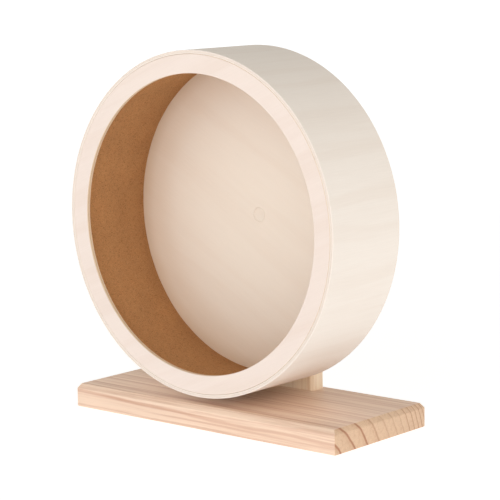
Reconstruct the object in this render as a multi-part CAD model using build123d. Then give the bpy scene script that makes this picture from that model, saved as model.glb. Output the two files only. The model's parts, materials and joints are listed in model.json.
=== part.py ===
# Wooden hamster wheel on a stand.
# The drum turns on one bolt that runs in two ball bearings in an upright post.
# Millimetres. X runs along the base board, the open front of the wheel faces -Y, Z is up.
# The origin is in the middle of the resting face.
import os

from build123d import *

# Driving dimensions of the wheel
wheel_diameter = 280.0
drum_depth = 84.5
skin_thickness = 3.0
cork_thickness = 5.0
ring_thickness = 3.6
ring_opening_diameter = 243.0
disc_thickness = 5.2
ply_edge_ease = 0.5

# Driving dimensions of the stand
base_length = 280.0
base_depth = 118.0
base_thickness = 20.0
base_chamfer_width = 3.0
base_chamfer_height = 4.0
base_corner_radius = 1.0
base_foot_ease = 0.6
wheel_to_base_gap = 7.0
post_width = 82.0
post_thickness = 16.0
post_edge_chamfer = 2.0
post_to_wheel_gap = 11.5

# Driving dimensions of the hub and the axle
hub_block_diameter = 56.0
hub_block_thickness = 8.0
hub_block_ease = 1.0
insert_diameter = 12.0
insert_length = 10.0
bolt_bore = 8.0
bolt_shank_diameter = 7.96
bolt_length = 30.0
bolt_head_diameter = 14.0
bolt_head_height = 4.4
bolt_head_dome_radius = 8.4
bolt_socket_width = 5.0
bolt_socket_depth = 2.6
bolt_washer_thickness = 1.0
spacer_diameter = 11.4

# Driving dimensions of each ball bearing
bearing_outer_diameter = 22.0
bearing_width = 7.0
bearing_bore = 8.0
bearing_inner_land_diameter = 12.0
bearing_outer_land_diameter = 18.0
bearing_edge_chamfer = 0.3
ball_count = 7
ball_diameter = 3.968
ball_pitch_diameter = 15.0
race_groove_diameter = 4.12
cage_wall = 1.2
cage_width = 5.0
cage_pocket_diameter = 4.1
shield_thickness = 0.3
shield_depth = 0.35
shield_bore_diameter = 12.8
post_shoulder_bore = 19.0

# Driving dimensions of the fastenings
hub_screw_circle = 38.0
hub_screw_count = 4
hub_screw_diameter = 3.0
hub_screw_head_diameter = 6.0
hub_screw_length = 11.0
post_screw_spacing = 36.0
post_screw_diameter = 5.0
post_screw_head_diameter = 10.0
post_screw_length = 50.0
post_screw_recess = 0.5
dowel_spacing = 62.0
dowel_diameter = 8.0
dowel_length = 30.0
dowel_hole_spare = 1.0
dowel_end_chamfer = 1.0
cross_recess_share = 0.5
cross_recess_width_share = 0.14
cross_recess_depth_share = 0.6

# How closely two lengths agree when an edge is picked by its place
length_tolerance = 0.05

# Places along Y, worked out from the sizes above
wheel_front = -base_depth / 2
wheel_rear = wheel_front + drum_depth
ring_rear = wheel_front + ring_thickness
disc_front = wheel_rear - disc_thickness
hub_rear = wheel_rear + hub_block_thickness
post_front = wheel_rear + post_to_wheel_gap
post_rear = post_front + post_thickness
post_middle = (post_front + post_rear) / 2
insert_front = hub_rear - insert_length
bolt_seat = post_rear + bolt_washer_thickness
front_bearing_rear = post_front + bearing_width
rear_bearing_front = post_rear - bearing_width

# Places along Z and radii
wheel_radius = wheel_diameter / 2
axle_height = base_thickness + wheel_to_base_gap + wheel_radius
lining_outer_radius = wheel_radius - skin_thickness
lining_inner_radius = lining_outer_radius - cork_thickness
insert_radius = insert_diameter / 2


def rod(radius, y_start, y_end):
    """Solid cylinder round the axle line, from one Y to another."""
    middle = (y_start + y_end) / 2
    return Pos(0, middle, axle_height) * Rot(90, 0, 0) * Cylinder(radius, y_end - y_start)


def tube(outer_radius, inner_radius, y_start, y_end):
    """Hollow cylinder round the axle line, from one Y to another."""
    return rod(outer_radius, y_start, y_end) - rod(inner_radius, y_start, y_end)


def rim_edges(shape, radius):
    """Circular edges of one radius."""
    circles = shape.edges().filter_by(GeomType.CIRCLE)
    return [edge for edge in circles if abs(edge.radius - radius) < length_tolerance]


def board_screw(head_diameter, shank_diameter, length):
    """Countersunk screw with its head face at the origin and its point along +Z."""
    head_radius = head_diameter / 2
    shank_radius = shank_diameter / 2
    head_height = head_radius - shank_radius
    tip_start = length - 2 * shank_radius
    outline = Polyline(
        (0, 0, 0),
        (head_radius, 0, 0),
        (shank_radius, 0, head_height),
        (shank_radius, 0, tip_start),
        (0, 0, length),
        close=True,
    )
    return revolve(make_face(outline), Axis.Z)


def cross_recess(head_diameter, shank_diameter):
    """Cross-shaped driver recess that is cut into a screw head."""
    bar_length = head_diameter * cross_recess_share
    bar_width = head_diameter * cross_recess_width_share
    depth = shank_diameter * cross_recess_depth_share
    bar = Pos(0, 0, depth / 2) * Box(bar_length, bar_width, depth)
    return bar + Rot(0, 0, 90) * bar


def base_board():
    """Solid wood board with chamfered top edges."""
    board = Pos(0, 0, base_thickness / 2) * Box(base_length, base_depth, base_thickness)
    top = board.faces().sort_by(Axis.Z)[-1]
    board = chamfer(top.edges(), base_chamfer_width, base_chamfer_height, reference=top)
    board = fillet(board.edges().filter_by(rises), base_corner_radius)
    foot_edges = board.edges().group_by(Axis.Z)[0]
    return chamfer(foot_edges, base_foot_ease)


def rises(edge):
    """True for an edge that climbs, such as a corner of a board."""
    box = edge.bounding_box()
    return box.max.Z - box.min.Z > length_tolerance


def post_blank():
    """Upright board with a round top about the axle, before it is bored."""
    top_radius = post_width / 2
    height = axle_height - base_thickness
    panel = Pos(0, 0, base_thickness + height / 2) * Box(post_width, post_thickness, height)
    crown = Pos(0, 0, axle_height) * Rot(90, 0, 0) * Cylinder(top_radius, post_thickness)
    blank = Pos(0, post_middle, 0) * (panel + crown)
    front_edges = blank.edges().filter_by(lambda edge: on_board_face(edge, post_front))
    rear_edges = blank.edges().filter_by(lambda edge: on_board_face(edge, post_rear))
    return chamfer(front_edges + rear_edges, post_edge_chamfer)


def on_board_face(edge, y_face):
    """True for an edge of the post's outline on the face at y_face, apart from its foot."""
    box = edge.bounding_box()
    reach = max(abs(box.min.Y - y_face), abs(box.max.Y - y_face))
    return reach < length_tolerance and box.max.Z > base_thickness + length_tolerance


def post():
    """Upright post, bored from both faces for the bearings, with a shoulder between them."""
    board = post_blank()
    bearing_radius = bearing_outer_diameter / 2
    board -= rod(bearing_radius, post_front, front_bearing_rear)
    board -= rod(bearing_radius, rear_bearing_front, post_rear)
    board -= rod(post_shoulder_bore / 2, post_front, post_rear)
    return board


def post_screws():
    """Two screws up through the base board into the post."""
    screw = board_screw(post_screw_head_diameter, post_screw_diameter, post_screw_length)
    screw -= cross_recess(post_screw_head_diameter, post_screw_diameter)
    return [place * screw for place in post_screw_places()]


def post_screw_places():
    """Where each post screw's head face lies."""
    half = post_screw_spacing / 2
    return [Pos(x, post_middle, post_screw_recess) for x in (-half, half)]


def post_screw_holes():
    """Space that the post screws take, with their heads sunk below the resting face."""
    shape = board_screw(post_screw_head_diameter, post_screw_diameter, post_screw_length)
    mouth_height = post_screw_recess
    mouth = Pos(0, 0, -mouth_height / 2) * Cylinder(post_screw_head_diameter / 2, mouth_height)
    return [place * (shape + mouth) for place in post_screw_places()]


def dowel_places():
    """Middle of each dowel, on the joint between the base board and the post."""
    half = dowel_spacing / 2
    return [Pos(x, post_middle, base_thickness) for x in (-half, half)]


def post_dowels():
    """Two glued dowels that locate the post on the base board."""
    dowel = Cylinder(dowel_diameter / 2, dowel_length)
    dowel = chamfer(dowel.edges().filter_by(GeomType.CIRCLE), dowel_end_chamfer)
    return [place * dowel for place in dowel_places()]


def dowel_holes():
    """Drilled holes for the dowels, a little longer than the dowels."""
    hole = Cylinder(dowel_diameter / 2, dowel_length + 2 * dowel_hole_spare)
    return [place * hole for place in dowel_places()]


def drum_skin():
    """Bent plywood skin of the drum."""
    skin = tube(wheel_radius, lining_outer_radius, wheel_front, wheel_rear)
    return chamfer(rim_edges(skin, wheel_radius), ply_edge_ease)


def front_ring():
    """Flat plywood ring that sits in the front of the skin and frames the opening."""
    opening_radius = ring_opening_diameter / 2
    ring = tube(lining_outer_radius, opening_radius, wheel_front, ring_rear)
    return chamfer(rim_edges(ring, opening_radius), ply_edge_ease)


def cork_lining():
    """Cork sheet on the running track, from the ring to the back disc."""
    return tube(lining_outer_radius, lining_inner_radius, ring_rear, disc_front)


def back_disc():
    """Plywood disc that closes the rear of the drum, drilled for the plug and the insert."""
    disc = rod(lining_outer_radius, disc_front, wheel_rear)
    disc -= rod(insert_radius, disc_front, wheel_rear)
    for hole in hub_screw_shapes():
        disc -= hole
    return disc


def hub_block():
    """Round wooden block behind the back disc that holds the threaded insert."""
    block = rod(hub_block_diameter / 2, wheel_rear, hub_rear)
    rear_rim = ShapeList(rim_edges(block, hub_block_diameter / 2)).sort_by(Axis.Y)[-1]
    block = chamfer(rear_rim, hub_block_ease)
    block -= rod(insert_radius, wheel_rear, hub_rear)
    for hole in hub_screw_shapes():
        block -= hole
    return block


def hub_screw_places():
    """Where each hub screw's head face lies, with its point towards the drum."""
    turns = [360 * (index + 0.5) / hub_screw_count for index in range(hub_screw_count)]
    seat = Pos(0, hub_rear, axle_height) * Rot(90, 0, 0)
    return [seat * Rot(0, 0, turn) * Pos(hub_screw_circle / 2, 0, 0) for turn in turns]


def hub_screw_shapes():
    """Space that the hub screws take."""
    shape = board_screw(hub_screw_head_diameter, hub_screw_diameter, hub_screw_length)
    return [place * shape for place in hub_screw_places()]


def hub_screws():
    """Four countersunk screws that hold the hub block to the back disc."""
    recess = cross_recess(hub_screw_head_diameter, hub_screw_diameter)
    screw = board_screw(hub_screw_head_diameter, hub_screw_diameter, hub_screw_length) - recess
    return [place * screw for place in hub_screw_places()]


def threaded_insert():
    """Metal insert in the hub block that the axle bolt screws into."""
    return tube(insert_radius, bolt_bore / 2, insert_front, hub_rear)


def axle_plug():
    """Wooden plug, flush with the back disc, that hides the end of the bolt."""
    return rod(insert_radius, disc_front, insert_front)


def axle_bolt():
    """Round-headed socket bolt that is the wheel's axle, with its head behind the post."""
    shank = rod(bolt_shank_diameter / 2, bolt_seat - bolt_length, bolt_seat)
    head = Pos(0, 0, bolt_head_height / 2) * Cylinder(bolt_head_diameter / 2, bolt_head_height)
    dome_bottom = bolt_head_height - bolt_head_dome_radius
    head = head & (Pos(0, 0, dome_bottom) * Sphere(bolt_head_dome_radius))
    socket_plan = RegularPolygon(bolt_socket_width / 2, 6, major_radius=False)
    head -= Pos(0, 0, bolt_head_height - bolt_socket_depth) * extrude(socket_plan, bolt_socket_depth)
    return shank + Pos(0, bolt_seat, axle_height) * Rot(-90, 0, 0) * head


def bearing_outer_ring(y_start):
    """Outer ring of a bearing, pressed into the post."""
    y_end = y_start + bearing_width
    ring = tube(bearing_outer_diameter / 2, bearing_outer_land_diameter / 2, y_start, y_end)
    ring = chamfer(rim_edges(ring, bearing_outer_diameter / 2), bearing_edge_chamfer)
    return ring - race_groove(y_start)


def bearing_inner_ring(y_start):
    """Inner ring of a bearing, clamped on the axle bolt."""
    y_end = y_start + bearing_width
    ring = tube(bearing_inner_land_diameter / 2, bearing_bore / 2, y_start, y_end)
    return ring - race_groove(y_start)


def race_groove(y_start):
    """Ring-shaped space in which the balls run."""
    middle = y_start + bearing_width / 2
    groove = Torus(ball_pitch_diameter / 2, race_groove_diameter / 2)
    return Pos(0, middle, axle_height) * Rot(90, 0, 0) * groove


def bearing_shields(y_start):
    """Two thin steel shields held in the outer ring, one near each face."""
    near = y_start + shield_depth
    far = y_start + bearing_width - shield_depth - shield_thickness
    outer = bearing_outer_land_diameter / 2
    inner = shield_bore_diameter / 2
    return [tube(outer, inner, start, start + shield_thickness) for start in (near, far)]


def ball_turns():
    """Angle of each ball round the bearing."""
    return [360 * index / ball_count for index in range(ball_count)]


def bearing_balls(y_start):
    """The balls of one bearing."""
    centre = Pos(0, y_start + bearing_width / 2, axle_height) * Rot(90, 0, 0)
    ball = Pos(ball_pitch_diameter / 2, 0, 0) * Sphere(ball_diameter / 2)
    return [centre * Rot(0, 0, turn) * ball for turn in ball_turns()]


def bearing_cage(y_start):
    """Cage that keeps the balls apart."""
    centre = Pos(0, y_start + bearing_width / 2, axle_height) * Rot(90, 0, 0)
    pitch_radius = ball_pitch_diameter / 2
    outer = Cylinder(pitch_radius + cage_wall / 2, cage_width)
    band = outer - Cylinder(pitch_radius - cage_wall / 2, cage_width)
    pocket = Pos(pitch_radius, 0, 0) * Rot(0, 90, 0) * Cylinder(cage_pocket_diameter / 2, 2 * cage_wall)
    for turn in ball_turns():
        band -= Rot(0, 0, turn) * pocket
    return centre * band


def sleeve(y_start, y_end):
    """Spacer or washer on the axle bolt, narrow enough to touch only a bearing's inner ring."""
    return tube(spacer_diameter / 2, bolt_bore / 2, y_start, y_end)


def save(name, shape):
    """Write one node as a STEP file; a list of solids becomes one group."""
    group = Compound(children=shape) if isinstance(shape, list) else shape
    group.label = name
    export_step(group, f"parts/{name}.step")


def main():
    """Build every piece and write it."""
    os.makedirs("parts", exist_ok=True)
    board = base_board()
    upright = post()
    for hole in post_screw_holes() + dowel_holes():
        board -= hole
        upright -= hole
    save("base_board", board)
    save("post", upright)
    save("post_screws", post_screws())
    save("post_dowels", post_dowels())
    save("drum_skin", drum_skin())
    save("front_ring", front_ring())
    save("cork_lining", cork_lining())
    save("back_disc", back_disc())
    save("hub_block", hub_block())
    save("hub_screws", hub_screws())
    save("threaded_insert", threaded_insert())
    save("axle_plug", axle_plug())
    save("axle_bolt", axle_bolt())
    bearing_starts = {"front": post_front, "rear": rear_bearing_front}
    for side, start in bearing_starts.items():
        save(f"{side}_bearing_outer_ring", bearing_outer_ring(start))
        save(f"{side}_bearing_inner_ring", bearing_inner_ring(start))
        save(f"{side}_bearing_shields", bearing_shields(start))
        save(f"{side}_bearing_balls", bearing_balls(start))
        save(f"{side}_bearing_cage", bearing_cage(start))
    save("front_spacer", sleeve(hub_rear, post_front))
    save("middle_spacer", sleeve(front_bearing_rear, rear_bearing_front))
    save("bolt_washer", sleeve(post_rear, bolt_seat))


if __name__ == "__main__":
    main()
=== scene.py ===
"""Looks of the wooden hamster wheel: meshes, finishes, studio light and camera.

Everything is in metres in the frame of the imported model: X along the base board, the open front of
the wheel faces -Y, and Z is up. The drum with its ring, lining, disc and plug, the base board and the
post are modelled here and stand for their plain solids. The hub, the dowels, the fastenings and the
bearings keep their solids and get finishes.
"""

import json
import logging
import math
from dataclasses import dataclass
from enum import Enum
from typing import Iterable, Sequence, Union

import bmesh
import bpy
from mathutils import Matrix, Vector, noise


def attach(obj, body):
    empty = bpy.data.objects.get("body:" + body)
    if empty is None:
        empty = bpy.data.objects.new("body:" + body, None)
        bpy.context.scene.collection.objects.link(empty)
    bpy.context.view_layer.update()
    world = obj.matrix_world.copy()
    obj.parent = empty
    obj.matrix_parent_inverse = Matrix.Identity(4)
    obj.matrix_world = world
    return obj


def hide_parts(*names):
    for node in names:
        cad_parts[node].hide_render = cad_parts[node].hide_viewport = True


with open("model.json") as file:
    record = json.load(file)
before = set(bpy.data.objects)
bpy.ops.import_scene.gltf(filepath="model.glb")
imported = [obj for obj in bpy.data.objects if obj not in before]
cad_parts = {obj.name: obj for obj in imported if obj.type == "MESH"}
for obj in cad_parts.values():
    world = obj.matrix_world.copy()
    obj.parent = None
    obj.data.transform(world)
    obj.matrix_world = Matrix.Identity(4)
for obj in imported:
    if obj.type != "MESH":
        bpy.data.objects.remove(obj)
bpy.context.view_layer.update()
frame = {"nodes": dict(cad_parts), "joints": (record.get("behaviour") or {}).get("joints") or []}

LOG = logging.getLogger("hamster_wheel")
AXLE_HEIGHT = frame["joints"][0]["pos_m"][2]
MM = 0.001
FULL_TURN = 2 * math.pi
SAME_LEVEL = 1e-6

# A corner is rounded in ROUNDING_STEPS steps over at most LONGEST_ROUNDING of a side. A side that is
# longer than HOLD_FROM roundings gets a holding edge HOLD_AT roundings from its corner.
ROUNDING_STEPS = 4
LONGEST_ROUNDING = 0.45
HOLD_FROM = 6
HOLD_AT = 2.4
SHARP_TURN = math.radians(32)

Colour = tuple[float, float, float]
Place = tuple[float, float, float]
Point = tuple[float, float]
Stops = tuple[Point, ...]
Socket = bpy.types.NodeSocket
Material = bpy.types.Material
Value = Union[Socket, float, Colour]
Mesh = bmesh.types.BMesh
Loop = list[bmesh.types.BMVert]


class Grain(Enum):
    """The way the fibres of a wooden piece run."""

    ALONG_X = 0
    ALONG_Y = 1
    ALONG_Z = 2


class PlyStack(Enum):
    """The way the veneers of a plywood edge are stacked."""

    OUTWARD = "outward"
    BACKWARD = "backward"


def linear(red: int, green: int, blue: int) -> Colour:
    """Turn a screen colour into a linear one.

    Args:
        red: Red from 0 to 255.
        green: Green from 0 to 255.
        blue: Blue from 0 to 255.

    Returns:
        The same colour as three linear values from 0 to 1.
    """

    def channel(value: int) -> float:
        """One channel, by the usual screen curve."""
        share = value / 255
        return share / 12.92 if share <= 0.04045 else ((share + 0.055) / 1.055) ** 2.4

    return channel(red), channel(green), channel(blue)


class Bench:
    """A material under construction: short calls that add a node or two each."""

    def __init__(self, name: str) -> None:
        """Start an empty material with one principled shader.

        Args:
            name: The material's name.
        """
        self.material = bpy.data.materials.new(name)
        self.material.use_nodes = True
        self.tree = self.material.node_tree
        self.tree.nodes.clear()
        self.shader = self.node("BsdfPrincipled")
        output = self.node("OutputMaterial")
        self.tree.links.new(self.shader.outputs["BSDF"], output.inputs["Surface"])
        self.place = self.node("TexCoord")

    def feed(self, socket: Socket, value: Value) -> None:
        """Link an output to a socket, or set the socket to a constant.

        Args:
            socket: The input that takes the value.
            value: Another node's output, a number, a vector or a colour.
        """
        if isinstance(value, Socket):
            self.tree.links.new(value, socket)
        elif socket.type == "RGBA":
            socket.default_value = (*value, 1.0)
        else:
            socket.default_value = value

    def node(self, kind: str, *values: Value) -> bpy.types.Node:
        """Add a node and feed its first inputs.

        Args:
            kind: The kind of shader node.
            values: What goes into its inputs, in order.

        Returns:
            The new node.
        """
        node = self.tree.nodes.new(f"ShaderNode{kind}")
        for socket, value in zip(node.inputs, values):
            self.feed(socket, value)
        return node

    def point(self) -> Socket:
        """The place on the piece, in metres."""
        return self.place.outputs["Object"]

    def facing(self) -> Socket:
        """The piece's own surface direction."""
        return self.place.outputs["Normal"]

    def split(self, vector: Socket) -> tuple[Socket, ...]:
        """The three parts of a vector."""
        return tuple(self.node("SeparateXYZ", vector).outputs)

    def join(self, x: Value, y: Value, z: Value) -> Socket:
        """A vector from three parts."""
        return self.node("CombineXYZ", x, y, z).outputs[0]

    def step(self, kind: str, first: Value, second: Value = 0.0, clamp: bool = False) -> Socket:
        """One step of arithmetic.

        Args:
            kind: The operation, such as SQRT or DIVIDE.
            first: The first number.
            second: The second number.
            clamp: Whether the result is kept from 0 to 1.

        Returns:
            The result.
        """
        node = self.node("Math", first, second)
        node.operation = kind
        node.use_clamp = clamp
        return node.outputs[0]

    def plus(self, first: Value, second: Value) -> Socket:
        """The sum of two numbers."""
        return self.step("ADD", first, second)

    def minus(self, first: Value, second: Value) -> Socket:
        """The first number less the second."""
        return self.step("SUBTRACT", first, second)

    def times(self, first: Value, second: Value) -> Socket:
        """The product of two numbers."""
        return self.step("MULTIPLY", first, second)

    def length(self, first: Socket, second: Socket) -> Socket:
        """The length of a line from its two parts."""
        return self.step("SQRT", self.plus(self.times(first, first), self.times(second, second)))

    def swing(self, pattern: Socket, size: float) -> Socket:
        """A pattern that swings to both sides of zero."""
        return self.times(self.minus(pattern, 0.5), size)

    def blend(self, *shares: tuple[Socket, float], base: float = 0.0) -> Socket:
        """A weighted sum of patterns.

        Args:
            shares: Each pattern with its weight.
            base: What is added to them.

        Returns:
            The sum.
        """
        total = self.times(*shares[0])
        for pattern, weight in shares[1:]:
            total = self.plus(total, self.times(pattern, weight))
        return self.plus(total, base) if base else total

    def vector(self, kind: str, first: Value, second: Value) -> Socket:
        """One step of arithmetic on vectors.

        Args:
            kind: The operation, such as ADD or MULTIPLY.
            first: The first vector.
            second: The second vector.

        Returns:
            The result.
        """
        node = self.node("VectorMath", first, second)
        node.operation = kind
        return node.outputs[0]

    def scaled_point(self, per_metre: float) -> Socket:
        """The place on the piece, in steps of which so many go into a metre."""
        return self.vector("MULTIPLY", self.point(), (per_metre, per_metre, per_metre))

    def radius(self) -> Socket:
        """The distance from the axle line."""
        x, _, z = self.split(self.point())
        return self.length(x, self.minus(z, AXLE_HEIGHT))

    def noise(self, vector: Socket, detail: float, rough: float = 0.55) -> Socket:
        """Soft noise with a mean of one half at one cycle per unit.

        Args:
            vector: Where the noise is read.
            detail: How many finer layers it has.
            rough: How strong the finer layers are.

        Returns:
            The noise, from 0 to 1.
        """
        node = self.node("TexNoise", vector)
        node.inputs["Scale"].default_value = 1.0
        node.inputs["Detail"].default_value = detail
        node.inputs["Roughness"].default_value = rough
        return node.outputs["Fac"]

    def cells(self, vector: Socket, feature: str) -> bpy.types.Node:
        """Cell pattern, one cell per unit.

        Args:
            vector: Where the pattern is read.
            feature: F1 for cells, DISTANCE_TO_EDGE for the seams between them.

        Returns:
            The node, with its Distance and Color outputs.
        """
        node = self.node("TexVoronoi", vector)
        node.feature = feature
        node.inputs["Scale"].default_value = 1.0
        return node

    def curve(self, value: Socket, stops: Stops) -> Socket:
        """A number bent by a list of stops, smooth between them.

        Args:
            value: The number.
            stops: Pairs of a number and what it becomes.

        Returns:
            The bent number.
        """
        node = self.node("ValToRGB", value)
        node.color_ramp.interpolation = "EASE"
        fill_ramp(node.color_ramp, [(spot, (level, level, level)) for spot, level in stops])
        return node.outputs["Color"]

    def mix(self, share: Value, first: Value, second: Value, kind: str = "MIX") -> Socket:
        """Two colours blended.

        Args:
            share: How much of the second colour shows, from 0 to 1.
            first: The first colour.
            second: The second colour.
            kind: The blend, such as MIX or MULTIPLY.

        Returns:
            The blended colour.
        """
        node = self.node("Mix", share)
        node.data_type = "RGBA"
        node.blend_type = kind
        self.feed(node.inputs[6], first)
        self.feed(node.inputs[7], second)
        return node.outputs[2]

    def multiply(self, colour: Value, tone: Value) -> Socket:
        """A colour multiplied by a tone or by another colour."""
        return self.mix(1.0, colour, tone, "MULTIPLY")

    def relief(self, height: Socket, depth: float, strength: float = 1.0) -> None:
        """Give the surface a fine relief.

        Args:
            height: The height pattern, from 0 to 1.
            depth: What a height of 1 means, in metres.
            strength: How strongly it shows.
        """
        node = self.node("Bump")
        self.feed(node.inputs["Height"], height)
        node.inputs["Distance"].default_value = depth
        node.inputs["Strength"].default_value = strength
        self.feed(self.shader.inputs["Normal"], node.outputs[0])

    def done(self, colour: Value, roughness: Value, gloss: float = 0.5, metallic: float = 0.0) -> Material:
        """Set the shader and hand the material over.

        Args:
            colour: Surface colour.
            roughness: Surface roughness.
            gloss: Strength of the clear reflection.
            metallic: 1 for bare metal, 0 for anything else.

        Returns:
            The finished material.
        """
        self.feed(self.shader.inputs["Base Color"], colour)
        self.feed(self.shader.inputs["Roughness"], roughness)
        self.shader.inputs["Metallic"].default_value = metallic
        self.shader.inputs["Specular IOR Level"].default_value = gloss
        return self.material


def fill_ramp(ramp: bpy.types.ColorRamp, stops: Sequence[tuple[float, Colour]]) -> None:
    """Set the stops of a colour ramp.

    Args:
        ramp: A new ramp, with two stops.
        stops: Pairs of a position and a colour.
    """
    while len(ramp.elements) < len(stops):
        ramp.elements.new(0.5)
    for element, (position, colour) in zip(ramp.elements, stops):
        element.position = position
        element.color = (*colour, 1.0)


@dataclass(frozen=True)
class Streak:
    """Noise drawn out along the fibres, with its cycles per metre along and across them."""

    along: float
    across: float
    detail: float
    rough: float = 0.55

    def draw(self, bench: Bench, along: Socket, *across: Socket) -> Socket:
        """Add the noise to a material.

        Args:
            bench: The material under construction.
            along: Place along the fibres.
            across: One or two places across the fibres.

        Returns:
            The noise, from 0 to 1.
        """
        sides = [bench.times(place, self.across) for place in across]
        flat = [0.0] * (2 - len(sides))
        spot = bench.join(bench.times(along, self.along), *sides, *flat)
        return bench.noise(spot, self.detail, self.rough)


@dataclass(frozen=True)
class Softwood:
    """Planed softwood sawn from a trunk whose heart lies outside the board."""

    name: str
    grain: Grain
    heart: Point
    first_ring: float
    ring_reach: float
    vigour: Stops
    early: Colour
    late: Colour
    end_tint: Colour
    lean: float = 0.0
    vein_contrast: float = 0.34
    lean_from: float = 0.14
    wander: float = 1.6 * MM
    drift_share: float = 5.0
    even_rings: float = 6.5
    crowded_rings: float = 3.5
    vigour_rings: float = 12.0
    long_contrast: float = 0.40
    end_contrast: float = 0.42
    end_vein_loss: float = 0.22
    fibre_tone: float = 0.24
    cloud_tone: float = 0.16
    lowest_tone: float = 0.82
    pores_per_metre: float = 1900.0
    fibre_height: float = 0.5
    ring_height: float = 0.7
    relief_depth: float = 0.09 * MM
    fibre_roughness: float = 0.18
    least_roughness: float = 0.42
    drift: Streak = Streak(5.0, 9.0, 2.0)
    ripple: Streak = Streak(22.0, 130.0, 3.0)
    fibres: Streak = Streak(45.0, 2600.0, 5.0, 0.65)
    veins: Streak = Streak(7.0, 330.0, 5.0, 0.65)
    clouds: Streak = Streak(9.0, 40.0, 2.0)
    ring_profile: Stops = ((0.0, 0.55), (0.05, 0.0), (0.55, 0.06), (0.84, 0.22), (0.93, 1.0), (1.0, 0.85))
    end_profile: Stops = ((0.0, 0.0), (0.35, 0.0), (0.75, 1.0), (1.0, 1.0))
    vein_profile: Stops = ((0.0, 0.0), (0.44, 0.04), (0.66, 0.85), (1.0, 1.0))
    pore_profile: Stops = ((0.0, 0.80), (0.42, 0.88), (0.60, 1.0), (1.0, 1.06))

    def material(self) -> Material:
        """Build the finish.

        Returns:
            A material with growth rings that run through the piece, fibres and end grain.
        """
        bench = Bench(self.name)
        parts = bench.split(bench.point())
        along = parts[self.grain.value]
        across = [part for index, part in enumerate(parts) if index != self.grain.value]
        count = self.ring_count(bench, self.from_heart(bench, along, across))
        band = bench.curve(bench.step("FRACT", count), self.ring_profile)
        band = bench.times(band, bench.curve(bench.times(count, 1 / self.vigour_rings), self.vigour))
        fibres = self.fibres.draw(bench, along, *across)
        veins = bench.curve(self.veins.draw(bench, along, *across), self.vein_profile)
        clouds = self.clouds.draw(bench, along, *across)
        end = bench.step("ABSOLUTE", bench.split(bench.facing())[self.grain.value])
        end = bench.curve(end, self.end_profile)
        veins = bench.times(veins, bench.minus(self.vein_contrast, bench.times(end, self.end_vein_loss)))
        colour = bench.mix(bench.step("MAXIMUM", veins, 0.0), self.early, self.late)
        contrast = bench.blend((end, self.end_contrast), base=self.long_contrast)
        colour = bench.mix(bench.step("MULTIPLY", band, contrast, clamp=True), colour, self.late)
        tone = bench.blend((fibres, self.fibre_tone), (clouds, self.cloud_tone), base=self.lowest_tone)
        colour = bench.multiply(colour, tone)
        pores = bench.noise(bench.scaled_point(self.pores_per_metre), detail=2.0, rough=0.6)
        sawn = bench.multiply(colour, self.end_tint)
        sawn = bench.multiply(sawn, bench.curve(pores, self.pore_profile))
        height = bench.blend((fibres, self.fibre_height), (band, self.ring_height))
        bench.relief(height, self.relief_depth)
        rough = bench.blend((fibres, self.fibre_roughness), base=self.least_roughness)
        return bench.done(bench.mix(end, colour, sawn), rough)

    def from_heart(self, bench: Bench, along: Socket, across: Sequence[Socket]) -> Socket:
        """Distance from the heart of the trunk, uneven as real growth is.

        Args:
            bench: The material under construction.
            along: Place along the fibres.
            across: The two places across the fibres.

        Returns:
            The distance in metres.
        """
        drift = bench.swing(self.drift.draw(bench, along, *across), self.wander * self.drift_share)
        ripple = bench.swing(self.ripple.draw(bench, along, *across), self.wander)
        tip = bench.times(bench.minus(along, self.lean_from), self.lean)
        first = bench.minus(across[0], self.heart[0])
        second = bench.plus(bench.minus(across[1], self.heart[1]), tip)
        return bench.plus(bench.plus(bench.length(first, second), drift), ripple)

    def ring_count(self, bench: Bench, reach: Socket) -> Socket:
        """How many growth rings lie between the first one and a place, as rings draw closer outward.

        Args:
            bench: The material under construction.
            reach: Distance from the heart.

        Returns:
            The number of rings, whole at each dark line.
        """
        share = bench.step("DIVIDE", bench.minus(reach, self.first_ring), self.ring_reach)
        square = bench.times(share, share)
        return bench.blend((share, self.even_rings), (bench.times(square, square), self.crowded_rings))


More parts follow.
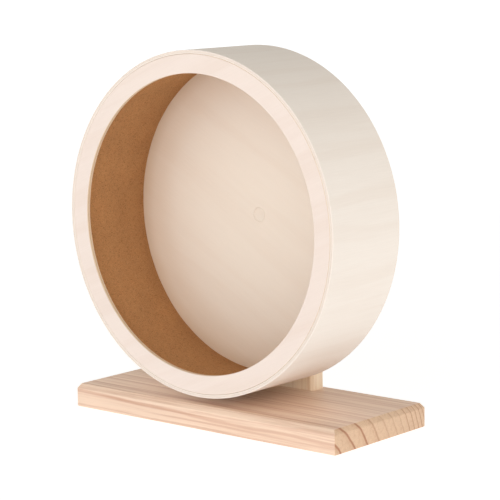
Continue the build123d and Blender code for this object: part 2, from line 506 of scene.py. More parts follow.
@dataclass(frozen=True)
class PlyFace:
    """Sanded pale face veneer with a faint figure."""

    name: str
    light: Colour
    dark: Colour
    figure: float
    tilt: float = 0.0
    rolled_radius: float = 0.0
    # The next four fields paint shade toward the rim of a disc: a warm darker tint that stands in for corner
    # shade and light thrown back by the cork.
    shaded_rim_radius: float = 0.0
    rim_shade_tint: Colour = (0.66, 0.46, 0.26)
    rim_shade_share: float = 0.50
    rim_shade_swing: float = 0.08
    wave_size: float = 30.0 * MM
    band_share: float = 0.50
    line_share: float = 0.34
    cloud_share: float = 0.30
    clear_share: float = 0.12
    fibre_tone: float = 0.09
    lowest_tone: float = 0.955
    fibre_height: float = 0.7
    line_height: float = 0.5
    relief_depth: float = 0.05 * MM
    line_roughness: float = 0.16
    least_roughness: float = 0.50
    gloss: float = 0.30
    wave: Streak = Streak(3.5, 16.0, 2.0)
    bands: Streak = Streak(2.6, 46.0, 3.0)
    lines: Streak = Streak(5.0, 230.0, 4.0)
    fibres: Streak = Streak(38.0, 1900.0, 4.0)
    clouds: Streak = Streak(11.0, 17.0, 3.0)
    band_profile: Stops = ((0.0, 0.0), (0.45, 0.15), (0.62, 0.85), (1.0, 1.0))
    rim_shade_profile: Stops = ((0.0, 0.0), (0.66, 0.0), (0.86, 0.30), (1.0, 1.0))

    def material(self) -> Material:
        """Build the finish.

        Returns:
            A material with soft bands, hair-fine fibres and a sanded sheen.
        """
        bench = Bench(self.name)
        along, across = self.directions(bench)
        bent = bench.plus(across, bench.times(self.wave.draw(bench, along, across), self.wave_size))
        bands = bench.curve(self.bands.draw(bench, along, bent), self.band_profile)
        lines = self.lines.draw(bench, along, bent)
        fibres = self.fibres.draw(bench, along, across)
        clouds = self.clouds.draw(bench, along, across)
        share = bench.blend((bands, self.band_share), (lines, self.line_share), (clouds, self.cloud_share))
        share = bench.step("MULTIPLY", bench.minus(share, self.clear_share), self.figure, clamp=True)
        colour = bench.mix(share, self.light, self.dark)
        colour = bench.multiply(colour, bench.blend((fibres, self.fibre_tone), base=self.lowest_tone))
        # Painted shade toward the rim, on both faces of the disc.
        if self.shaded_rim_radius:
            colour = self.paint_rim_shade(bench, colour, clouds)
        bench.relief(bench.blend((fibres, self.fibre_height), (lines, self.line_height)), self.relief_depth)
        rough = bench.blend((lines, self.line_roughness), base=self.least_roughness)
        return bench.done(colour, rough, self.gloss)

    def paint_rim_shade(self, bench: Bench, colour: Socket, clouds: Socket) -> Socket:
        """Paint shade on the veneer toward the rim: a warm darker tint that stands in for the shade in the
        drum's corner and the light the cork throws back.

        Args:
            bench: The material under construction.
            colour: The colour without the painted shade.
            clouds: Soft noise that makes the tint uneven.

        Returns:
            The tinted colour.
        """
        # Painted shade: the tint grows from about two thirds of the radius out to the rim, on both faces of
        # the disc.
        share = bench.step("DIVIDE", bench.radius(), self.shaded_rim_radius)
        share = bench.plus(share, bench.swing(clouds, self.rim_shade_swing))
        painted_shade = bench.curve(share, self.rim_shade_profile)
        return bench.mix(bench.times(painted_shade, self.rim_shade_share), colour, self.rim_shade_tint)

    def directions(self, bench: Bench) -> tuple[Socket, Socket]:
        """Distance along and across the fibres, on a flat sheet or on one rolled about the axle.

        Args:
            bench: The material under construction.

        Returns:
            The two distances in metres.
        """
        x, y, z = bench.split(bench.point())
        if self.rolled_radius:
            turn = bench.step("ARCTAN2", x, bench.minus(z, AXLE_HEIGHT))
            return y, bench.times(turn, self.rolled_radius)
        cosine, sine = math.cos(self.tilt), math.sin(self.tilt)
        along = bench.plus(bench.times(x, cosine), bench.times(z, sine))
        across = bench.minus(bench.times(z, cosine), bench.times(x, sine))
        return along, across


@dataclass(frozen=True)
class PlyEdge:
    """Cut edge of plywood, with its veneers as light and dark stripes."""

    name: str
    stack: PlyStack
    start: float
    thickness: float
    veneers: int
    light: Colour
    core: Colour
    glue: Colour
    cut_waves_per_metre: float = 140.0
    cut_swing: float = 0.10
    glue_share: float = 0.45
    grit_per_metre: float = 2100.0
    grit_tone: float = 0.30
    lowest_tone: float = 0.85
    relief_depth: float = 0.10 * MM
    roughness: float = 0.68
    gloss: float = 0.25
    glue_profile: Stops = ((0.0, 0.0), (0.42, 0.0), (0.50, 1.0))

    def material(self) -> Material:
        """Build the finish.

        Returns:
            A material with one stripe per veneer, thin glue lines and open pores in the core.
        """
        bench = Bench(self.name)
        depth = bench.radius() if self.stack is PlyStack.OUTWARD else bench.split(bench.point())[1]
        cut = bench.noise(bench.scaled_point(self.cut_waves_per_metre), detail=3.0)
        shift = bench.swing(cut, self.thickness * self.cut_swing)
        depth = bench.plus(bench.minus(depth, self.start), shift)
        level = bench.times(depth, self.veneers / self.thickness)
        odd = bench.step("PINGPONG", bench.step("FLOOR", level), 1.0)
        near = bench.step("ABSOLUTE", bench.minus(bench.step("FRACT", level), 0.5))
        glue = bench.curve(near, self.glue_profile)
        grit = bench.noise(bench.scaled_point(self.grit_per_metre), detail=3.0, rough=0.7)
        colour = bench.mix(odd, self.light, self.core)
        colour = bench.mix(bench.times(glue, self.glue_share), colour, self.glue)
        colour = bench.multiply(colour, bench.blend((grit, self.grit_tone), base=self.lowest_tone))
        bench.relief(bench.minus(grit, glue), self.relief_depth)
        return bench.done(colour, self.roughness, self.gloss)


@dataclass(frozen=True)
class Cork:
    """Pressed cork sheet: small grains, a few dark ones, and open specks between them."""

    name: str
    light: Colour
    base: Colour
    dark: Colour
    grain_size: float
    foot: float
    crossways: float = -1.3
    crumbs_per_grain: float = 3.1
    patches_per_metre: float = 38.0
    speck_share: float = 0.36
    gap_share: float = 0.35
    # Painted shade: the cork darkens toward the back disc, in the drum's corner, over this reach.
    painted_shade_share: float = 0.26
    painted_shade_reach: float = 60.0 * MM
    crumb_tone: float = 0.46
    patch_tone: float = 0.26
    lowest_tone: float = 0.66
    crumb_height: float = 0.6
    grain_height: float = 0.5
    relief_depth: float = 0.30 * MM
    roughness: float = 0.88
    gloss: float = 0.18
    grain_profile: Stops = ((0.0, 0.0), (0.12, 0.30), (0.55, 0.55), (0.90, 0.75), (1.0, 1.0))
    speck_profile: Stops = ((0.0, 1.0), (0.05, 0.9), (0.12, 0.0), (1.0, 0.0))
    gap_profile: Stops = ((0.0, 1.0), (0.09, 0.15), (0.20, 0.0))
    # Painted shade, from full at the disc to none at the end of the reach.
    painted_shade_profile: Stops = ((0.0, 1.0), (0.3, 0.55), (1.0, 0.0))

    def material(self) -> Material:
        """Build the finish.

        Returns:
            A material of grains that differ in tone, with a rough relief and painted shade toward the back
            disc.
        """
        bench = Bench(self.name)
        grains_per_metre = 1.0 / self.grain_size
        spot = bench.scaled_point(grains_per_metre)
        sway = bench.noise(spot, detail=2.0)
        spot = bench.vector("ADD", spot, bench.join(sway, bench.times(sway, self.crossways), sway))
        pick = bench.split(bench.cells(spot, "F1").outputs["Color"])
        seams = bench.cells(spot, "DISTANCE_TO_EDGE").outputs["Distance"]
        crumb_spot = bench.scaled_point(self.crumbs_per_grain * grains_per_metre)
        crumbs = bench.noise(crumb_spot, detail=3.0, rough=0.7)
        patches = bench.noise(bench.scaled_point(self.patches_per_metre), detail=3.0)
        grains = bench.curve(pick[0], self.grain_profile)
        specks = bench.curve(pick[1], self.speck_profile)
        gaps = bench.curve(seams, self.gap_profile)
        colour = bench.mix(grains, self.base, self.light)
        colour = bench.mix(bench.times(specks, self.speck_share), colour, self.dark)
        colour = bench.mix(bench.times(gaps, self.gap_share), colour, self.dark)
        tone = bench.blend((crumbs, self.crumb_tone), (patches, self.patch_tone), base=self.lowest_tone)
        colour = bench.multiply(colour, tone)
        # Painted shade: darker toward the back disc, in the corner of the drum.
        depth = bench.minus(self.foot, bench.split(bench.point())[1])
        painted_shade = bench.curve(bench.times(depth, 1 / self.painted_shade_reach), self.painted_shade_profile)
        colour = bench.mix(bench.times(painted_shade, self.painted_shade_share), colour, self.dark)
        height = bench.blend((crumbs, self.crumb_height), (grains, self.grain_height))
        bench.relief(bench.minus(height, gaps), self.relief_depth)
        return bench.done(colour, self.roughness, self.gloss)


@dataclass(frozen=True)
class Metal:
    """Bare metal with fine machining marks and small stains."""

    name: str
    colour: Colour
    stain: Colour
    roughness: float
    mark_roughness: float = 0.10
    marks_outward: float = 9000.0
    marks_along: float = 4000.0
    stains_per_metre: float = 420.0
    stain_share: float = 0.5
    stain_roughness: float = 0.22
    clean_gain: float = 0.08
    relief_depth: float = 0.01 * MM
    relief_strength: float = 0.6
    stain_profile: Stops = ((0.0, 0.0), (0.50, 0.05), (0.72, 0.55), (1.0, 1.0))

    def material(self) -> Material:
        """Build the finish.

        Returns:
            A metal material with turned marks about the axle and uneven sheen.
        """
        bench = Bench(self.name)
        y = bench.split(bench.point())[1]
        outward = bench.times(bench.radius(), self.marks_outward)
        turned = bench.join(outward, bench.times(y, self.marks_along), 0.0)
        marks = bench.noise(turned, detail=3.0, rough=0.6)
        patches = bench.noise(bench.scaled_point(self.stains_per_metre), detail=4.0, rough=0.6)
        stains = bench.curve(patches, self.stain_profile)
        colour = bench.mix(bench.times(stains, self.stain_share), self.colour, self.stain)
        shares = ((patches, self.stain_roughness), (marks, self.mark_roughness))
        rough = bench.blend(*shares, base=self.roughness - self.clean_gain)
        bench.relief(marks, self.relief_depth, self.relief_strength)
        return bench.done(colour, rough, metallic=1.0)


def eased(points: Sequence[Point], ease: float, closed: bool = True) -> list[Point]:
    """Round the corners of an outline.

    Args:
        points: Corners of the outline.
        ease: How far from each corner the rounding starts.
        closed: Whether the last corner joins the first one.

    Returns:
        The outline with a short run of points in place of each corner.
    """
    result: list[Point] = []
    for index, point in enumerate(points):
        if not closed and index in (0, len(points) - 1):
            result.append(point)
            continue
        corner = Vector(point)
        before = Vector(points[index - 1]) - corner
        after = Vector(points[(index + 1) % len(points)]) - corner
        reach = min(ease, before.length * LONGEST_ROUNDING, after.length * LONGEST_ROUNDING)
        start = corner + before.normalized() * reach
        end = corner + after.normalized() * reach
        if before.length > HOLD_FROM * reach:
            result.append(tuple(corner + before.normalized() * reach * HOLD_AT))
        for step in range(ROUNDING_STEPS + 1):
            part = step / ROUNDING_STEPS
            spot = start.lerp(corner, part).lerp(corner.lerp(end, part), part)
            result.append((spot.x, spot.y))
        if after.length > HOLD_FROM * reach:
            result.append(tuple(corner + after.normalized() * reach * HOLD_AT))
    return result


def circle(radius: float, count: int) -> list[Point]:
    """Evenly spaced points of a circle about the origin."""
    turns = [FULL_TURN * step / count for step in range(count)]
    return [(radius * math.cos(turn), radius * math.sin(turn)) for turn in turns]


def stitch(built: Mesh, loops: Sequence[Loop]) -> None:
    """Join closed loops of points with bands of faces.

    Args:
        built: The mesh that holds the points.
        loops: The loops in order, each with the same number of points.
    """
    for low, high in zip(loops, loops[1:]):
        for index, vertex in enumerate(low):
            after = (index + 1) % len(low)
            built.faces.new((vertex, low[after], high[after], high[index]))


def cover(built: Mesh, loops: Sequence[Loop]) -> None:
    """Close a flat face whose outline and holes are loops of points.

    Args:
        built: The mesh that holds the points.
        loops: The outline and its holes.
    """
    rims = [built.edges.get((loop[index - 1], loop[index])) for loop in loops for index in range(len(loop))]
    bmesh.ops.triangle_fill(built, use_beauty=True, edges=rims)


def publish(built: Mesh, name: str, materials: Iterable[Material]) -> bpy.types.Object:
    """Turn a built mesh into an object with smooth faces and sharp corners.

    Args:
        built: The built mesh, which is used up.
        name: The object's name.
        materials: Its materials, in the order of the faces' numbers.

    Returns:
        The new object, linked to the scene.
    """
    bmesh.ops.recalc_face_normals(built, faces=built.faces[:])
    for face in built.faces:
        face.smooth = True
    for edge in built.edges:
        edge.smooth = not edge.is_manifold or edge.calc_face_angle(0.0) < SHARP_TURN
    data = bpy.data.meshes.new(name)
    built.to_mesh(data)
    built.free()
    for material in materials:
        data.materials.append(material)
    piece = bpy.data.objects.new(name, data)
    bpy.context.collection.objects.link(piece)
    return piece


def settle(piece: bpy.types.Object, body: str, node: str) -> bpy.types.Object:
    """Hand a piece to the body it rides on, in place of its plain solid.

    Args:
        piece: The modelled piece.
        body: The body that carries it.
        node: The solid it stands for.

    Returns:
        The same piece.
    """
    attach(piece, body)
    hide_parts(node)
    LOG.info("%s: %d faces", piece.name, len(piece.data.polygons))
    return piece


def dress(node: str, material: Material) -> None:
    """Give a plain solid its finish.

    Args:
        node: The solid's name.
        material: Its finish.
    """
    solid = frame["nodes"][node]
    if not solid.material_slots:
        solid.data.materials.append(material)
    for slot in solid.material_slots:
        slot.material = material
    LOG.info("%s: finish %s", node, material.name)


def by_direction(built: Mesh, limit: float, flat: int, other: int) -> None:
    """Number the faces by whether they look along the axle.

    Args:
        built: The mesh of a turned piece.
        limit: Least share of the direction along the axle for a flat face.
        flat: Material number of the flat faces.
        other: Material number of all other faces.
    """
    built.normal_update()
    for face in built.faces:
        face.material_index = flat if abs(face.normal.y) > limit else other


@dataclass
class Turning:
    """A round piece turned about the axle line from a closed outline of (radius, y) points."""

    outline: Sequence[Point]
    segments: int = 360

    def mesh(self) -> Mesh:
        """Turn the outline into a mesh.

        Returns:
            The mesh, with one ring of points per segment.
        """
        built = bmesh.new()
        rings = []
        for index in range(self.segments):
            turn = FULL_TURN * index / self.segments
            spoke = Vector((math.sin(turn), 0.0, math.cos(turn)))
            rings.append([self.vertex(built, spoke, radius, y) for radius, y in self.outline])
        stitch(built, [*rings, rings[0]])
        return built

    def vertex(self, built: Mesh, spoke: Vector, radius: float, y: float) -> bmesh.types.BMVert:
        """One point of the turned surface."""
        return built.verts.new(spoke * radius + Vector((0.0, y, AXLE_HEIGHT)))

    def discs(self, middle: float) -> Mesh:
        """Turn an outline that starts and ends near the axle, and close both ends.

        Args:
            middle: Radius of the closed middle at both ends.

        Returns:
            The solid turned mesh.
        """
        built = self.mesh()
        inner = [vertex for vertex in built.verts if self.reach(vertex.co) < middle * 1.001]
        bridge = [face for face in built.faces if all(vertex in inner for vertex in face.verts)]
        bmesh.ops.delete(built, geom=bridge, context="FACES")
        rims = [edge for edge in built.edges if edge.is_boundary]
        bmesh.ops.edgeloop_fill(built, edges=rims)
        return built

    def reach(self, place: Vector) -> float:
        """How far a place is from the axle line."""
        return math.hypot(place.x, place.z - AXLE_HEIGHT)


@dataclass
class Drum:
    """The turning drum: bent skin, front ring, cork lining, back disc and the plug over the bolt."""

    radius: float = 140.0 * MM
    skin: float = 3.0 * MM
    skin_veneers: int = 3
    skin_rim_limit: float = 0.55
    cork: float = 5.0 * MM
    cork_grain: float = 0.85 * MM
    cork_rows: int = 30
    cork_segments: int = 420
    cork_backing: float = 1.0 * MM
    cork_bumps: Stops = ((95.0, 0.22 * MM), (330.0, 0.10 * MM))
    mouth_radius: float = 121.5 * MM
    front: float = -59.0 * MM
    ring: float = 3.6 * MM
    ring_veneers: int = 3
    ring_tilt: float = math.radians(22.7)
    disc_front: float = 20.3 * MM
    disc_veneers: int = 5
    disc_tilt: float = math.radians(-29.7)
    disc_ease: float = 0.25 * MM
    rear: float = 25.5 * MM
    face_limit: float = 0.80
    plug: float = 6.0 * MM
    plug_rear: float = 23.5 * MM
    plug_ease: float = 0.4 * MM
    plug_sink: float = 0.01 * MM
    plug_segments: int = 96
    edge_ease: float = 0.55 * MM
    gap: float = 0.12 * MM
    groove: float = 0.07 * MM
    body: str = "wheel"

    def build(self) -> list[bpy.types.Object]:
        """Build every piece of the drum."""
        makers = (self.build_skin, self.build_ring, self.build_cork, self.build_disc, self.build_plug)
        return [make() for make in makers]

    def build_skin(self) -> bpy.types.Object:
        """Bent plywood skin, with the glue lines of its veneers cut into both edges.

        Returns:
            The skin.
        """
        inner, outer, front, rear = self.radius - self.skin, self.radius, self.front, self.rear
        outline = eased(((inner, front), (outer, front), (outer, rear), (inner, rear)), self.edge_ease)
        lines = self.glue_lines(inner, self.skin, self.skin_veneers)
        built = Turning(self.grooved(outline, 0, lines, (front, rear))).mesh()
        by_direction(built, self.skin_rim_limit, flat=1, other=0)
        rolled = PlyFace("rolled_veneer", *SKIN_TONES, figure=0.40, rolled_radius=self.radius)
        edge = PlyEdge("skin_edge", PlyStack.OUTWARD, inner, self.skin, self.skin_veneers, *EDGE_TONES)
        piece = publish(built, "drum_skin_bent", (rolled.material(), edge.material()))
        return settle(piece, self.body, "drum_skin")

    def build_ring(self) -> bpy.types.Object:
        """Flat ring in the mouth of the drum, a hair's width inside the skin.

        Returns:
            The ring.
        """
        outer, inner = self.radius - self.skin - self.gap, self.mouth_radius
        front, rear = self.front, self.front + self.ring
        outline = eased(((inner, front), (outer, front), (outer, rear), (inner, rear)), self.edge_ease)
        lines = self.glue_lines(front, self.ring, self.ring_veneers)
        built = Turning(self.grooved(outline, 1, lines, (inner,))).mesh()
        by_direction(built, self.face_limit, flat=0, other=1)
        face = PlyFace("ring_veneer", *RING_TONES, figure=0.52, tilt=self.ring_tilt)
        edge = PlyEdge("ring_edge", PlyStack.BACKWARD, front, self.ring, self.ring_veneers, *SAWN_TONES)
        piece = publish(built, "front_ring_sanded", (face.material(), edge.material()))
        return settle(piece, self.body, "front_ring")

    def glue_lines(self, start: float, thickness: float, veneers: int) -> list[float]:
        """Places of the glue lines between the veneers of a sheet."""
        return [start + thickness * line / veneers for line in range(1, veneers)]

    def grooved(
        self, outline: Sequence[Point], axis: int, lines: Sequence[float], levels: Sequence[float]
    ) -> list[Point]:
        """Cut a fine groove at each glue line into the straight runs of an outline.

        Args:
            outline: Closed outline of (radius, y) points.
            axis: The part that changes along a run, 0 for radius and 1 for y.
            lines: Places of the glue lines along the run.
            levels: The other part, on each run that gets grooves.

        Returns:
            The outline with the grooves in it.
        """
        others = [point[1 - axis] for point in outline]
        middle = (min(others) + max(others)) / 2
        result: list[Point] = []
        for index, point in enumerate(outline):
            result.append(point)
            after = outline[(index + 1) % len(outline)]
            level = point[1 - axis]
            flat = abs(after[1 - axis] - level) < SAME_LEVEL
            if not flat or min(abs(level - wanted) for wanted in levels) > SAME_LEVEL:
                continue
            low, high = sorted((point[axis], after[axis]))
            way = math.copysign(1.0, after[axis] - point[axis])
            inward = math.copysign(1.0, middle - level)
            cuts = [line for line in lines if low < line < high]
            for cut in sorted(cuts, reverse=way < 0):
                for shift, sink in ((-way, 0.0), (0.0, inward), (way, 0.0)):
                    spot = (cut + shift * self.groove, level + sink * self.groove)
                    result.append(spot if axis == 0 else spot[::-1])
        return result

    def build_cork(self) -> bpy.types.Object:
        """Cork sheet on the track, with a slightly uneven surface.

        Returns:
            The lining.
        """
        outer = self.radius - self.skin
        inner = outer - self.cork
        front, rear = self.front + self.ring, self.disc_front
        steps = [rear + (front - rear) * row / self.cork_rows for row in range(self.cork_rows + 1)]
        track = [(inner, y) for y in steps]
        built = Turning([(outer, front), (outer, rear), *track], self.cork_segments).mesh()
        for vertex in built.verts:
            spoke = Vector((vertex.co.x, 0.0, vertex.co.z - AXLE_HEIGHT))
            if spoke.length < outer - self.cork_backing:
                rise = sum(noise.noise(vertex.co * count) * height for count, height in self.cork_bumps)
                vertex.co += spoke.normalized() * rise
        # The cork gets painted shade toward the disc at its foot.
        finish = Cork("pressed_cork", *CORK_TONES, self.cork_grain, foot=rear)
        piece = publish(built, "cork_track", (finish.material(),))
        return settle(piece, self.body, "cork_lining")

    def build_disc(self) -> bpy.types.Object:
        """Plywood disc that closes the rear, with the hole for the plug.

        Returns:
            The disc.
        """
        outer = self.radius - self.skin - self.gap
        hole = self.plug + self.gap / 4
        front, rear = self.disc_front, self.rear
        corners = ((hole, front), (outer, front), (outer, rear), (hole, rear))
        built = Turning(eased(corners, self.disc_ease)).mesh()
        by_direction(built, self.face_limit, flat=0, other=1)
        # The disc's veneer gets painted shade toward its rim.
        face = PlyFace("disc_veneer", *DISC_TONES, figure=0.34, tilt=self.disc_tilt, shaded_rim_radius=outer)
        edge = PlyEdge("disc_edge", PlyStack.BACKWARD, front, rear - front, self.disc_veneers, *EDGE_TONES)
        piece = publish(built, "back_disc_sanded", (face.material(), edge.material()))
        return settle(piece, self.body, "back_disc")

    def build_plug(self) -> bpy.types.Object:
        """Wooden plug over the end of the bolt, flush with the disc.

        Returns:
            The plug.
        """
        small, full = self.plug_ease, self.plug
        front, rear = self.disc_front + self.plug_sink, self.plug_rear
        outline = ((small, front), (full - small, front), (full, front + small), (full, rear), (small, rear))
        built = Turning(outline, self.plug_segments).discs(small)
        face = PlyFace("plug_veneer", *PLUG_TONES, figure=0.4, tilt=self.disc_tilt)
        piece = publish(built, "axle_plug_flush", (face.material(),))
        return settle(piece, self.body, "axle_plug")


@dataclass
class Stand:
    """The base board and the post that carries the axle."""

    length: float = 280.0 * MM
    depth: float = 118.0 * MM
    thickness: float = 20.0 * MM
    chamfer_width: float = 3.0 * MM
    chamfer_height: float = 4.0 * MM
    foot_ease: float = 0.6 * MM
    board_ease: float = 0.5 * MM
    corner: float = 1.0 * MM
    least_corner: float = 0.45 * MM
    corner_loss: float = 0.25
    corner_steps: int = 5
    hold: float = 2.0 * MM
    post_half: float = 41.0 * MM
    post_front: float = 37.0 * MM
    post_rear: float = 53.0 * MM
    post_chamfer: float = 2.0 * MM
    post_ease: float = 0.4 * MM
    crown_steps: int = 72
    bearing_radius: float = 11.0 * MM
    bearing_seat: float = 7.0 * MM
    bearing_ease: float = 0.3 * MM
    shoulder_radius: float = 9.5 * MM
    bore_segments: int = 64
    screw_places: Stops = ((-18.0 * MM, 45.0 * MM), (18.0 * MM, 45.0 * MM))
    screw_pocket: Stops = ((5.05 * MM, 0.0), (5.05 * MM, 0.5 * MM), (2.5 * MM, 3.0 * MM))
    screw_segments: int = 32
    body: str = "stand"

    def build(self) -> list[bpy.types.Object]:
        """Build the base board and the post, and finish the dowels between them."""
        dress("post_dowels", DOWEL_WOOD.material())
        return [self.build_board(), self.build_post()]

    def build_board(self) -> bpy.types.Object:
        """Solid board with chamfered top edges, softened corners and screw pockets beneath.

        Returns:
            The board.
        """
        side = (
            (self.foot_ease + self.hold, 0.0),
            (self.foot_ease, 0.0),
            (0.0, self.foot_ease),
            (0.0, self.thickness - self.chamfer_height),
            (self.chamfer_width, self.thickness),
            (self.chamfer_width + self.hold, self.thickness),
        )
        built = bmesh.new()
        side = eased(side, self.board_ease, closed=False)
        loops = [self.board_loop(built, inset, height) for inset, height in side]
        stitch(built, loops)
        built.faces.new(loops[-1])
        cover(built, (loops[0], *[self.pocket(built, x, y) for x, y in self.screw_places]))
        piece = publish(built, "base_board_planed", (BOARD_WOOD.material(),))
        return settle(piece, self.body, "base_board")

    def board_loop(self, built: Mesh, inset: float, height: float) -> Loop:
        """One level outline of the board.

        Args:
            built: The mesh that takes the points.
            inset: How far the outline lies inside the board's full size.
            height: Its height over the floor.

        Returns:
            The points of the outline in order.
        """
        radius = max(self.corner - inset * self.corner_loss, self.least_corner)
        half_x = self.length / 2 - inset - radius
        half_y = self.depth / 2 - inset - radius
        points = []
        for quarter, (side_x, side_y) in enumerate(((1, 1), (-1, 1), (-1, -1), (1, -1))):
            for step in range(self.corner_steps + 1):
                turn = FULL_TURN / 4 * (quarter + step / self.corner_steps)
                x = side_x * half_x + radius * math.cos(turn)
                y = side_y * half_y + radius * math.sin(turn)
                points.append(built.verts.new((x, y, height)))
        return points

    def pocket(self, built: Mesh, x: float, y: float) -> Loop:
        """Countersunk pocket for one screw head.

        Args:
            built: The mesh that takes the pocket.
            x: Place of the screw along the board.
            y: Place of the screw across the board.

        Returns:
            The points of its mouth on the resting face.
        """
        rings = []
        for radius, height in self.screw_pocket:
            spots = circle(radius, self.screw_segments)
            rings.append([built.verts.new((x + right, y + back, height)) for right, back in spots])
        stitch(built, rings)
        built.faces.new(rings[-1])
        return rings[0]

    def build_post(self) -> bpy.types.Object:
        """Upright board with a round top, chamfered edges and two stepped bearing seats.

        Returns:
            The post.
        """
        front, rear, chamfer = self.post_front, self.post_rear, self.post_chamfer
        side = (
            (front, chamfer + self.hold),
            (front, chamfer),
            (front + chamfer, 0.0),
            (rear - chamfer, 0.0),
            (rear, chamfer),
            (rear, chamfer + self.hold),
        )
        built = bmesh.new()
        loops = [self.post_loop(built, inset, y) for y, inset in eased(side, self.post_ease, closed=False)]
        stitch(built, loops)
        bores = [self.bore_loop(built, radius, y) for radius, y in self.bearing_seats()]
        stitch(built, bores)
        cover(built, (loops[0], bores[0]))
        cover(built, (loops[-1], bores[-1]))
        piece = publish(built, "post_planed", (POST_WOOD.material(),))
        return settle(piece, self.body, "post")

    def bearing_seats(self) -> Stops:
        """Outline of the bore, from the front of the post to its rear.

        Returns:
            The (radius, y) points.
        """
        front, rear, seat, ease = self.post_front, self.post_rear, self.bearing_seat, self.bearing_ease
        bore, shoulder = self.bearing_radius, self.shoulder_radius
        front_seat = ((bore + ease, front), (bore, front + ease), (bore, front + seat))
        rear_seat = ((bore, rear - seat), (bore, rear - ease), (bore + ease, rear))
        return (*front_seat, (shoulder, front + seat), (shoulder, rear - seat), *rear_seat)

    def post_loop(self, built: Mesh, inset: float, y: float) -> Loop:
        """Outline of the post at one depth.

        Args:
            built: The mesh that takes the points.
            inset: How far the outline lies inside the post's full size.
            y: The depth.

        Returns:
            The points of the outline in order, from the foot round the top.
        """
        half = self.post_half - inset
        turns = [math.pi * step / self.crown_steps for step in range(self.crown_steps + 1)]
        crown = [(half * math.cos(turn), AXLE_HEIGHT + half * math.sin(turn)) for turn in turns]
        foot = [(-half, self.thickness), (half, self.thickness)]
        return [built.verts.new((x, y, z)) for x, z in (*foot, *crown)]

    def bore_loop(self, built: Mesh, radius: float, y: float) -> Loop:
        """Circle about the axle at one depth."""
        spots = circle(radius, self.bore_segments)
        return [built.verts.new((right, y, AXLE_HEIGHT + up)) for right, up in spots]


@dataclass
class Fittings:
    """Hub, fastenings and bearings, which keep their solids."""

    bearing_sides: tuple[str, ...] = ("front", "rear")
    ground_parts: tuple[str, ...] = ("outer_ring", "inner_ring", "balls")
    pressed_parts: tuple[str, ...] = ("cage", "shields")

    def build(self) -> None:
        """Give every metal piece and the hub block its finish."""
        dress("hub_block", HUB_WOOD.material())
        self.finish(ZINC, ("post_screws", "hub_screws"))
        self.finish(BRASS, ("threaded_insert",))
        self.finish(BOLT_STEEL, ("axle_bolt", "bolt_washer", "front_spacer", "middle_spacer"))
        for side in self.bearing_sides:
            self.finish(GROUND_STEEL, [f"{side}_bearing_{part}" for part in self.ground_parts], side)
            self.finish(PRESSED_STEEL, [f"{side}_bearing_{part}" for part in self.pressed_parts], side)

    def finish(self, metal: Metal, nodes: Iterable[str], side: str = "") -> None:
        """Give several solids one metal finish.

        Args:
            metal: The finish.
            nodes: Names of the solids.
            side: Which bearing they belong to, for the finish's name.
        """
        material = metal.material()
        if side:
            material.name = f"{side}_{metal.name}"
        for node in nodes:
            dress(node, material)


@dataclass(frozen=True)
class Lamp:
    """One large soft square lamp that points at the wheel."""

    name: str
    place: Place
    size: float
    power: float
    colour: Colour

    def hang(self) -> None:
        """Add the lamp to the scene."""
        data = bpy.data.lights.new(self.name, "AREA")
        data.size = self.size
        data.energy = self.power
        data.color = self.colour
        lamp = bpy.data.objects.new(self.name, data)
        lamp.location = self.place
        aim = Vector((0.0, 0.0, AXLE_HEIGHT)) - Vector(self.place)
        lamp.rotation_euler = aim.to_track_quat("-Z", "Y").to_euler()
        bpy.context.collection.objects.link(lamp)


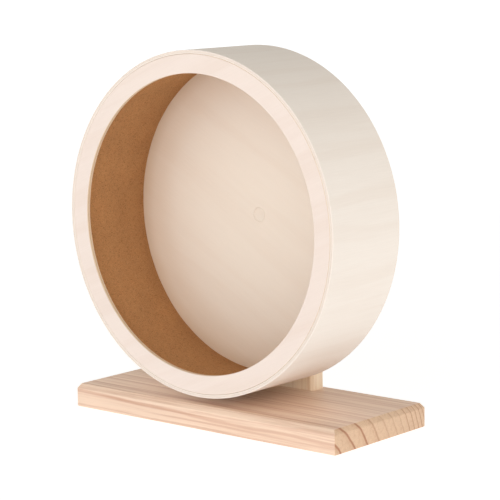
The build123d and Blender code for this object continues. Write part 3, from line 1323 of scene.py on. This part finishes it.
@dataclass
class Studio:
    """White floor, soft lights and the camera."""

    camera_place: Place = (1.0546665, -1.2207466, 0.3875450)
    camera_right: Place = (0.76026691, 0.64942061, -0.01571914)
    camera_up: Place = (-0.08675572, 0.12548517, 0.98829495)
    camera_back: Place = (0.64379163, -0.75000423, 0.15174317)
    lens: float = 142.87
    sensor: float = 36.0
    farthest: float = 100.0
    floor_radius: float = 30.0
    floor_segments: int = 96
    floor_level: float = -0.3 * MM
    floor_clouds_per_metre: float = 3.0
    floor_cloud_tone: float = 0.01
    floor_tone: float = 0.50
    floor_roughness: float = 0.9
    glow_reach: float = 10.0
    glow: Stops = ((0.0, 0.74), (0.05, 0.74), (0.4, 0.90), (1.0, 0.95))
    sky: tuple[tuple[float, Colour], ...] = (
        (0.0, (1.0, 1.0, 1.0)),
        (0.13, (1.0, 1.0, 1.0)),
        (0.32, (1.0, 0.99, 0.93)),
        (1.0, (0.0, 0.0, 0.0)),
    )
    lamps: tuple[Lamp, ...] = (
        Lamp("soft_front", (0.45, -2.05, 2.00), 1.8, 9.3, linear(255, 251, 248)),
        Lamp("soft_right", (1.95, -0.45, 1.85), 1.8, 7.8, linear(255, 251, 248)),
        Lamp("low_fill", (0.5, -2.55, 0.32), 1.1, 7.9, linear(255, 250, 245)),
    )

    def build(self) -> None:
        """Set up floor, light and camera."""
        self.build_floor()
        self.build_sky()
        for lamp in self.lamps:
            lamp.hang()
        self.build_camera()

    def build_floor(self) -> None:
        """Plain white floor under the resting face, with a soft glow of its own."""
        built = bmesh.new()
        bmesh.ops.create_circle(built, cap_ends=True, segments=self.floor_segments, radius=self.floor_radius)
        bench = Bench("studio_floor")
        clouds = bench.noise(bench.scaled_point(self.floor_clouds_per_metre), detail=2.0)
        shade = bench.blend((clouds, self.floor_cloud_tone), base=self.floor_tone)
        x, y, _ = bench.split(bench.point())
        glow = bench.curve(bench.times(bench.length(x, y), 1 / self.glow_reach), self.glow)
        bench.shader.inputs["Emission Color"].default_value = (1.0, 1.0, 1.0, 1.0)
        bench.feed(bench.shader.inputs["Emission Strength"], glow)
        floor = publish(built, "floor", (bench.done(shade, self.floor_roughness, gloss=0.0),))
        floor.location.z = self.floor_level

    def build_sky(self) -> None:
        """Soft white light from all round, bright to a third of the way up and dark overhead."""
        world = bpy.data.worlds.new("studio")
        world.use_nodes = True
        tree = world.node_tree
        place = tree.nodes.new("ShaderNodeTexCoord")
        split = tree.nodes.new("ShaderNodeSeparateXYZ")
        ramp = tree.nodes.new("ShaderNodeValToRGB")
        background = tree.nodes["Background"]
        fill_ramp(ramp.color_ramp, self.sky)
        tree.links.new(place.outputs["Generated"], split.inputs[0])
        tree.links.new(split.outputs[2], ramp.inputs[0])
        tree.links.new(ramp.outputs["Color"], background.inputs["Color"])
        background.inputs["Strength"].default_value = 1.0
        bpy.context.scene.world = world

    def build_camera(self) -> None:
        """Camera with a long lens, a little above the axle."""
        data = bpy.data.cameras.new("camera")
        data.sensor_width = self.sensor
        data.lens = self.lens
        data.clip_end = self.farthest
        camera = bpy.data.objects.new("camera", data)
        columns = (self.camera_right, self.camera_up, self.camera_back, self.camera_place)
        rows = [[column[row] for column in columns] for row in range(3)]
        camera.matrix_world = Matrix((*rows, (0.0, 0.0, 0.0, 1.0)))
        bpy.context.collection.objects.link(camera)
        bpy.context.scene.camera = camera
        bpy.context.scene.view_settings.view_transform = "Standard"


SKIN_TONES = (linear(245, 236, 227), linear(226, 207, 191))
RING_TONES = (linear(239, 225, 217), linear(224, 202, 187))
DISC_TONES = (linear(248, 237, 224), linear(236, 217, 200))
PLUG_TONES = (linear(247, 236, 223), linear(235, 216, 199))
EDGE_TONES = (linear(243, 231, 222), linear(239, 225, 213), linear(212, 188, 168))
SAWN_TONES = (linear(242, 222, 196), linear(230, 204, 172), linear(186, 150, 116))
CORK_TONES = (linear(232, 178, 124), linear(218, 158, 104), linear(146, 94, 50))
BOARD_WOOD = Softwood(
    name="planed_board",
    grain=Grain.ALONG_X,
    heart=(-0.124, -0.054),
    first_ring=0.092,
    ring_reach=0.0953,
    vigour=((0.0, 1.0), (0.2, 0.95), (0.28, 0.30), (0.5, 0.34), (0.62, 0.80), (1.0, 1.0)),
    early=linear(243, 215, 192),
    late=linear(176, 108, 74),
    end_tint=(0.90, 0.82, 0.70),
    lean=0.012,
    vein_contrast=0.42,
)
POST_WOOD = Softwood(
    name="planed_post",
    grain=Grain.ALONG_Z,
    heart=(0.018, -0.028),
    first_ring=0.062,
    ring_reach=0.042,
    vigour=((0.0, 0.4), (0.4, 0.55), (1.0, 0.4)),
    early=linear(254, 233, 205),
    late=linear(206, 154, 108),
    end_tint=(0.90, 0.82, 0.72),
    vein_contrast=0.22,
)
DOWEL_WOOD = Softwood(
    name="ribbed_dowel",
    grain=Grain.ALONG_Z,
    heart=(0.05, 0.02),
    first_ring=0.01,
    ring_reach=0.04,
    vigour=((0.0, 0.3), (1.0, 0.3)),
    early=linear(232, 204, 168),
    late=linear(196, 152, 110),
    end_tint=(0.88, 0.80, 0.70),
)
HUB_WOOD = Softwood(
    name="turned_hub",
    grain=Grain.ALONG_X,
    heart=(0.075, 0.205),
    first_ring=0.03,
    ring_reach=0.05,
    vigour=((0.0, 0.35), (1.0, 0.35)),
    early=linear(232, 202, 166),
    late=linear(186, 138, 98),
    end_tint=(0.90, 0.82, 0.72),
)
ZINC = Metal("zinc_plate", linear(206, 208, 206), linear(168, 170, 164), 0.34)
BRASS = Metal("turned_brass", linear(222, 184, 112), linear(176, 136, 78), 0.30)
BOLT_STEEL = Metal("bright_bolt_steel", linear(196, 197, 199), linear(150, 150, 150), 0.28)
GROUND_STEEL = Metal("ground_bearing_steel", linear(206, 208, 212), linear(172, 174, 178), 0.18, 0.05)
PRESSED_STEEL = Metal("pressed_sheet_steel", linear(186, 188, 190), linear(150, 152, 154), 0.36)


def main() -> None:
    """Build every part of the scene."""
    logging.basicConfig(level=logging.INFO, format="%(name)s %(message)s")
    pieces = [*Drum().build(), *Stand().build()]
    Fittings().build()
    Studio().build()
    LOG.info("%d modelled pieces", len(pieces))


if __name__ == "__main__":
    main()
